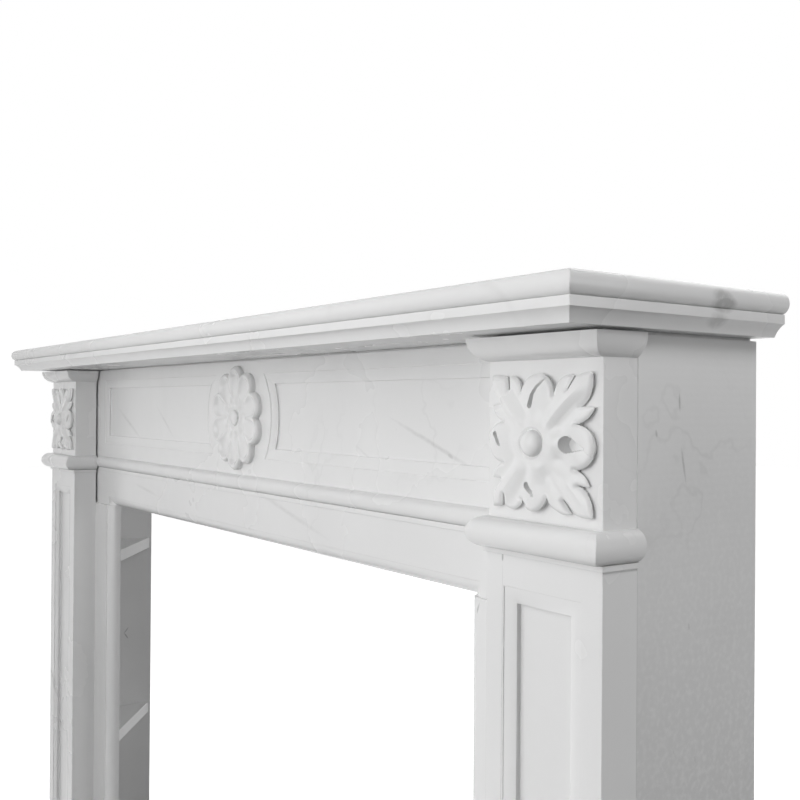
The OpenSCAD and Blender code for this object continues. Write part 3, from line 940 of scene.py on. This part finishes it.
def sawn_block(node, material, outline, low, high):
    """A sawn slab with eased edges."""
    stone = Stone()
    prism(stone, outline, low, high)
    piece = stone.finish(f"sawn_{node}", material, node)
    bevel = piece.modifiers.new("eased_edges", "BEVEL")
    bevel.width = SAWN_ARRIS * MM
    bevel.segments = 2
    bevel.limit_method = "ANGLE"
    bevel.angle_limit = ARRIS_FROM
    piece.modifiers.move(1, 0)
    return piece


def side_slab(node, material):
    low, high = box_mm(node)
    outline = [(low[0], low[1]), (high[0], low[1]), (high[0], high[1]), (low[0], high[1])]
    return sawn_block(node, material, outline, low[2], high[2])


def brace(side, node, material):
    low, high = box_mm(node)
    outer, inner = (low[0], high[0]) if side < 0 else (high[0], low[0])
    outline = [(outer, low[1]), (outer, high[1]), (inner, low[1])]
    return sawn_block(node, material, outline, low[2], high[2])


# ---- materials -------------------------------------------------------------------------

STONE_WHITE = (0.755, 0.755, 0.755)
VEIN_GREY = (0.40, 0.40, 0.40)
MARBLE_IOR = 1.49
POLISHED_ROUGHNESS = 0.24
SAWN_ROUGHNESS = 0.42

# Noise patterns: scale, detail and roughness of the noise, and where it starts and is full
CLOUDS = (2.6, 5.0, 0.55, 0.36, 0.72)
MOTTLE = (6.0, 1.5, 0.4, 0.30, 0.72)
GRAIN = (160.0, 2.0, 0.5, 0.3, 0.7)
# Lines: scale, half width, and the scale and start of the regions that have them
VEINS = (1.3, 0.012, 1.1, 0.54)
THREADS = (4.2, 0.008, 2.7, 0.58)
LINE_DETAIL = 5.0
LINE_REGION_FADE = 0.14
# How far towards the grey each pattern takes the stone
POLISHED_CLOUDS = 0.08
SAWN_CLOUDS = 0.16
MOTTLE_SHADE = 0.03
GRAIN_SHADE = 0.006
VEIN_SHADE = 0.22
THREAD_SHADE = 0.13
# The noise that bends the veins, and the one that frays the local marks
VEIN_BEND_SCALE = 3.0
VEIN_BEND = 0.12
FRAY_SCALE = 60.0
POLISHED_FRAY = 0.0022
SAWN_FRAY = 0.0012
# Local marks are broken up a little: noise scale, its start and end, and the least strength
BREAK_SCALE = 180.0
BREAK_FROM = (0.25, 0.6)
BREAK_LEAST = 0.55
# The surface: how much the clouds change its roughness, and the relief's scales and depths
CLOUD_ROUGHNESS = (-0.03, 0.06)
RIPPLE_SCALE = 11.0
PORE_SCALE = 110.0
PORE_DEPTH = 0.012
SAW_SCALE = 46.0
SAW_DEPTH = 0.03
RELIEF = 0.004
RELIEF_STRENGTH = 0.35

# Local marks in metres, and one painted shade in the sawn list: start, end, radius, how sharply it is filled,
# and how dark it is
POLISHED_MARKS = [
    # A vein across the right frieze panel, with a dark spot on it
    ((0.375, -0.014, 0.981), (0.545, -0.014, 0.924), 0.0035, 1.2, 0.42),
    ((0.489, -0.014, 0.942), (0.497, -0.014, 0.939), 0.0030, 2.0, 0.55),
    ((0.300, -0.014, 0.947), (0.352, -0.014, 0.925), 0.0025, 1.0, 0.25),
    # Faint veins on the left frieze panel and along the fascia
    ((-0.520, -0.014, 0.985), (-0.400, -0.014, 0.930), 0.0045, 1.0, 0.30),
    ((-0.330, -0.014, 0.990), (-0.250, -0.014, 0.935), 0.0035, 1.0, 0.25),
    ((0.020, -0.020, 0.880), (0.265, -0.020, 0.822), 0.0045, 1.0, 0.30),
    ((-0.420, -0.020, 0.850), (-0.300, -0.020, 0.835), 0.0040, 1.0, 0.25),
    # A broad diagonal vein down the left pilaster
    ((-0.775, -0.066, 0.470), (-0.690, -0.066, 0.365), 0.0080, 1.0, 0.62),
    ((-0.705, -0.066, 0.385), (-0.614, -0.060, 0.240), 0.0100, 1.0, 0.66),
    # A small hooked mark at the opening's edge
    ((0.554, -0.024, 0.795), (0.549, -0.024, 0.782), 0.0014, 2.0, 0.60),
    # The stain on the shelf's right end
    ((0.790, 0.034, 1.0900), (0.792, 0.052, 1.0880), 0.0085, 2.2, 0.70),
    ((0.794, 0.038, 1.0835), (0.794, 0.060, 1.0815), 0.0090, 2.2, 0.95),
    ((0.786, 0.040, 1.0700), (0.788, 0.054, 1.0660), 0.0095, 1.8, 0.60),
    # A hairline seam down the right shaft, with a chip at its top
    ((0.6362, -0.066, 0.560), (0.6368, -0.066, 0.872), 0.0009, 3.0, 0.45),
    ((0.6367, -0.066, 0.852), (0.6369, -0.066, 0.860), 0.0016, 3.0, 0.80),
]
SAWN_MARKS_AND_SHADE = [
    # Short saw marks and a faint vein on the right side slab
    ((0.760, 0.029, 1.007), (0.760, 0.030, 0.990), 0.0016, 1.6, 0.60),
    ((0.760, -0.001, 0.974), (0.760, 0.000, 0.969), 0.0018, 1.6, 0.55),
    ((0.760, 0.032, 0.960), (0.760, 0.039, 0.925), 0.0020, 1.5, 0.62),
    ((0.760, 0.043, 0.804), (0.760, 0.044, 0.797), 0.0018, 1.6, 0.60),
    ((0.760, 0.023, 0.699), (0.760, 0.025, 0.690), 0.0018, 1.6, 0.55),
    ((0.760, 0.052, 0.686), (0.760, 0.054, 0.677), 0.0018, 1.6, 0.55),
    ((0.760, 0.070, 0.900), (0.760, 0.120, 0.780), 0.0060, 1.0, 0.22),
    # Painted shade: the lower part of the right side slab is darkened, standing in for light that falls off
    # towards the floor
    ((0.760, 0.080, 0.100), (0.760, 0.080, 0.700), 0.3200, 1.0, 0.75),
    # Two strokes that a saw left inside the left leg
    ((-0.738, 0.090, 0.517), (-0.738, 0.081, 0.506), 0.0016, 2.5, 0.80),
    ((-0.738, 0.081, 0.506), (-0.738, 0.090, 0.494), 0.0016, 2.5, 0.80),
]


def add_node(tree, kind, links=(), **settings):
    """Adds a node; each link is a socket and either another node's output or a plain value."""
    node = tree.nodes.new(kind)
    for key, value in settings.items():
        setattr(node, key, value)
    for socket, source in links:
        if isinstance(source, bpy.types.NodeSocket):
            tree.links.new(source, node.inputs[socket])
        else:
            node.inputs[socket].default_value = source
    return node


def calculate(tree, operation, a, b=0.0, clamp=False):
    links = [(0, a), (1, b)]
    return add_node(tree, "ShaderNodeMath", links, operation=operation, use_clamp=clamp).outputs[0]


def noise_at(tree, place, scale, detail=3.0, roughness=0.5):
    links = [("Vector", place), ("Scale", scale), ("Detail", detail), ("Roughness", roughness)]
    return add_node(tree, "ShaderNodeTexNoise", links)


def spread(tree, value, low, high, to_low=0.0, to_high=1.0):
    """Maps low..high to to_low..to_high, smoothly and held at both ends."""
    links = [("Value", value), ("From Min", low), ("From Max", high), ("To Min", to_low), ("To Max", to_high)]
    return add_node(tree, "ShaderNodeMapRange", links, interpolation_type="SMOOTHSTEP").outputs["Result"]


def noise_pattern(tree, place, scale, detail, roughness, low, high):
    return spread(tree, noise_at(tree, place, scale, detail, roughness).outputs["Fac"], low, high)


def bent_place(tree, place, scale, reach):
    """The place pushed about by noise, so that what is drawn on it wanders."""
    push = noise_at(tree, place, scale, 3.0).outputs["Color"]
    links = [(0, push), (1, (0.5, 0.5, 0.5))]
    centred = add_node(tree, "ShaderNodeVectorMath", links, operation="SUBTRACT").outputs[0]
    links = [(0, centred), ("Scale", reach)]
    scaled = add_node(tree, "ShaderNodeVectorMath", links, operation="SCALE").outputs[0]
    return add_node(tree, "ShaderNodeVectorMath", [(0, place), (1, scaled)], operation="ADD").outputs[0]


def vein_lines(tree, place, scale, width, mask_scale, mask_from):
    """Thin lines where a noise crosses its middle, kept only in some regions."""
    level = noise_at(tree, place, scale, LINE_DETAIL).outputs["Fac"]
    off = calculate(tree, "ABSOLUTE", calculate(tree, "SUBTRACT", level, 0.5))
    line = spread(tree, off, 0.0, width, 1.0, 0.0)
    region = noise_at(tree, place, mask_scale, 2.0).outputs["Fac"]
    mask = spread(tree, region, mask_from, mask_from + LINE_REGION_FADE)
    return calculate(tree, "MULTIPLY", line, mask)


def local_mark(tree, place, start, end, radius, fill, strength):
    """A stroke from start to end that fades towards its edges."""
    a, b = Vector(start), Vector(end)
    turn = Vector((1.0, 0.0, 0.0)).rotation_difference(b - a).to_euler()
    half_length = (b - a).length / 2 + radius
    sizes = (half_length, radius, radius)
    links = [("Vector", place), ("Location", (a + b) / 2), ("Rotation", turn), ("Scale", sizes)]
    mapped = add_node(tree, "ShaderNodeMapping", links, vector_type="TEXTURE").outputs[0]
    ball = add_node(tree, "ShaderNodeTexGradient", [("Vector", mapped)], gradient_type="SPHERICAL")
    filled = calculate(tree, "MULTIPLY", ball.outputs["Fac"], fill, clamp=True)
    return calculate(tree, "MULTIPLY", filled, strength)


def marble_material(name, roughness, cloudiness, marks, fray, saw_depth=0.0):
    """White marble with clouds, veins and its own local marks, which can include painted shade; saw_depth
    gives it saw lines.
    """
    material = bpy.data.materials.new(name)
    material.use_nodes = True
    tree = material.node_tree
    shader = tree.nodes["Principled BSDF"]
    shader.inputs["IOR"].default_value = MARBLE_IOR
    place = tree.nodes.new("ShaderNodeTexCoord").outputs["Object"]
    bent = bent_place(tree, place, VEIN_BEND_SCALE, VEIN_BEND)

    clouds = noise_pattern(tree, place, *CLOUDS)
    shade = calculate(tree, "MULTIPLY", clouds, cloudiness)
    patterns = ((noise_pattern(tree, place, *MOTTLE), MOTTLE_SHADE),
                (noise_pattern(tree, place, *GRAIN), GRAIN_SHADE),
                (vein_lines(tree, bent, *VEINS), VEIN_SHADE),
                (vein_lines(tree, bent, *THREADS), THREAD_SHADE))
    for pattern, strength in patterns:
        shade = calculate(tree, "ADD", shade, calculate(tree, "MULTIPLY", pattern, strength))

    marked = 0.0
    frayed = bent_place(tree, place, FRAY_SCALE, fray)
    for mark in marks:
        marked = calculate(tree, "MAXIMUM", local_mark(tree, frayed, *mark), marked)
    broken = spread(tree, noise_at(tree, place, BREAK_SCALE).outputs["Fac"], *BREAK_FROM, BREAK_LEAST, 1.0)
    marked = calculate(tree, "MULTIPLY", marked, broken)
    shade = calculate(tree, "ADD", shade, marked, clamp=True)

    colours = add_node(tree, "ShaderNodeMix", data_type="RGBA")
    colours.inputs[6].default_value = (*STONE_WHITE, 1.0)
    colours.inputs[7].default_value = (*VEIN_GREY, 1.0)
    tree.links.new(shade, colours.inputs[0])
    tree.links.new(colours.outputs[2], shader.inputs["Base Color"])

    # The polish is duller where the stone is cloudy, and the surface is never quite flat
    least, most = (roughness + change for change in CLOUD_ROUGHNESS)
    tree.links.new(spread(tree, clouds, 0.0, 1.0, least, most), shader.inputs["Roughness"])
    ripple = noise_at(tree, place, RIPPLE_SCALE, 2.0).outputs["Fac"]
    pores = calculate(tree, "MULTIPLY", noise_at(tree, place, PORE_SCALE, 2.0).outputs["Fac"], PORE_DEPTH)
    height = calculate(tree, "ADD", ripple, pores)
    if saw_depth:
        links = [("Vector", place), ("Scale", SAW_SCALE), ("Distortion", 2.5), ("Detail", 2.0),
                 ("Detail Scale", 3.0)]
        kerf = add_node(tree, "ShaderNodeTexWave", links, bands_direction="Z").outputs["Fac"]
        height = calculate(tree, "ADD", height, calculate(tree, "MULTIPLY", kerf, saw_depth))
    links = [("Strength", RELIEF_STRENGTH), ("Distance", RELIEF), ("Height", height)]
    bump = add_node(tree, "ShaderNodeBump", links)
    tree.links.new(bump.outputs[0], shader.inputs["Normal"])
    return material


polished = marble_material("polished_marble", POLISHED_ROUGHNESS, POLISHED_CLOUDS, POLISHED_MARKS,
                           POLISHED_FRAY)
sawn = marble_material("sawn_marble", SAWN_ROUGHNESS, SAWN_CLOUDS, SAWN_MARKS_AND_SHADE, SAWN_FRAY, SAW_DEPTH)

# ---- making the mantel -----------------------------------------------------------------

mantel_shelf(polished)
frieze(polished)
for side, word in ((-1, "left"), (1, "right")):
    pilaster(side, f"pilaster_{word}", polished)
    slip(side, f"slip_{word}", polished)
    side_slab(f"side_slab_{word}", sawn)
    brace(side, f"upper_brace_{word}", sawn)
    brace(side, f"lower_brace_{word}", sawn)

# ---- floor, light and camera -----------------------------------------------------------

FLOOR = 14.0
FLOOR_TONE = 0.92
FLOOR_ROUGHNESS = 0.8
FLOOR_GLOW = 0.8
floor_mesh = bpy.data.meshes.new("floor")
floor_mesh.from_pydata([(-FLOOR, -FLOOR, 0), (FLOOR, -FLOOR, 0), (FLOOR, FLOOR, 0), (-FLOOR, FLOOR, 0)],
                       [], [(0, 1, 2, 3)])
floor_material = bpy.data.materials.new("studio_floor")
floor_material.use_nodes = True
floor_shader = floor_material.node_tree.nodes["Principled BSDF"]
floor_shader.inputs["Base Color"].default_value = (FLOOR_TONE, FLOOR_TONE, FLOOR_TONE, 1.0)
floor_shader.inputs["Roughness"].default_value = FLOOR_ROUGHNESS
floor_shader.inputs["Emission Color"].default_value = (1.0, 1.0, 1.0, 1.0)
floor_shader.inputs["Emission Strength"].default_value = FLOOR_GLOW
floor_mesh.materials.append(floor_material)
floor = bpy.data.objects.new("floor", floor_mesh)
bpy.context.scene.collection.objects.link(floor)
# The pale floor stays out of the light that falls on the stone
floor.visible_diffuse = False

scene = bpy.context.scene
scene.view_settings.view_transform = "Standard"

# A white backdrop; the stone itself is lit by a soft glow that comes from the left
GLOW = 1.04
GLOW_BASE = 0.02
world = bpy.data.worlds.new("studio")
world.use_nodes = True
sky = world.node_tree
backdrop = sky.nodes["Background"]
backdrop.inputs["Color"].default_value = (1.0, 1.0, 1.0, 1.0)
around = sky.nodes.new("ShaderNodeTexCoord").outputs["Generated"]
heading = add_node(sky, "ShaderNodeVectorMath", [(0, around), (1, (-1.0, 0.0, 0.0))],
                   operation="DOT_PRODUCT").outputs["Value"]
glow_links = [("Value", heading), ("To Min", GLOW_BASE), ("To Max", GLOW)]
glow = add_node(sky, "ShaderNodeMapRange", glow_links).outputs["Result"]
seen = sky.nodes.new("ShaderNodeLightPath").outputs["Is Camera Ray"]
sky.links.new(calculate(sky, "MAXIMUM", glow, seen), backdrop.inputs["Strength"])
scene.world = world


# Soft lights in metres and watts: place, what each is turned to, size and power
LIGHTS = {
    "key_light": ((0.2, -1.9, 1.1), (0.2, 0.0, 0.9), 1.2, 14.9),
    "left_light": ((-3.2, -2.6, 1.6), (0.2, 0.0, 0.9), 2.4, 3.7),
    "corner_light": ((1.3, -1.8, 0.6), (0.6, 0.0, 0.95), 1.0, 6.1),
    "front_light": ((0.7, -1.5, 1.9), (0.4, 0.0, 0.95), 1.0, 8.1),
    "side_light": ((1.9, 0.1, 2.0), (0.75, 0.0, 0.95), 0.8, 11.0),
    "far_side_light": ((2.4, 0.9, 1.2), (0.8, 0.0, 0.9), 1.0, 8.1),
    "back_light": ((0.0, 3.0, 2.2), (0.0, 0.0, 0.6), 2.5, 31.6),
}
for name, (place, target, size, power) in LIGHTS.items():
    light = bpy.data.lights.new(name, "AREA")
    light.shape = "SQUARE"
    light.size = size
    light.energy = power
    lamp = bpy.data.objects.new(name, light)
    lamp.location = place
    lamp.rotation_euler = (Vector(target) - Vector(place)).to_track_quat("-Z", "Y").to_euler()
    scene.collection.objects.link(lamp)

CAMERA_PLACE = (1.3309, -0.6773, 0.9946)
CAMERA_YAW = math.radians(54.55)
CAMERA_PITCH = math.radians(0.28)
CAMERA_ROLL = math.radians(0.39)
CAMERA_FILM = 36.0
CAMERA_LENS = 45.0
camera_data = bpy.data.cameras.new("camera")
camera_data.sensor_width = CAMERA_FILM
camera_data.lens = CAMERA_LENS
camera = bpy.data.objects.new("camera", camera_data)
forward = Vector((-math.sin(CAMERA_YAW) * math.cos(CAMERA_PITCH),
                  math.cos(CAMERA_YAW) * math.cos(CAMERA_PITCH), math.sin(CAMERA_PITCH)))
level = Vector((math.cos(CAMERA_YAW), math.sin(CAMERA_YAW), 0.0))
across = level * math.cos(CAMERA_ROLL) + level.cross(forward) * math.sin(CAMERA_ROLL)
axes = (across, across.cross(forward), -forward, Vector(CAMERA_PLACE))
camera.matrix_world = Matrix([[*row, 0.0] for row in axes[:3]] + [[*axes[3], 1.0]]).transposed()
scene.collection.objects.link(camera)
scene.camera = camera
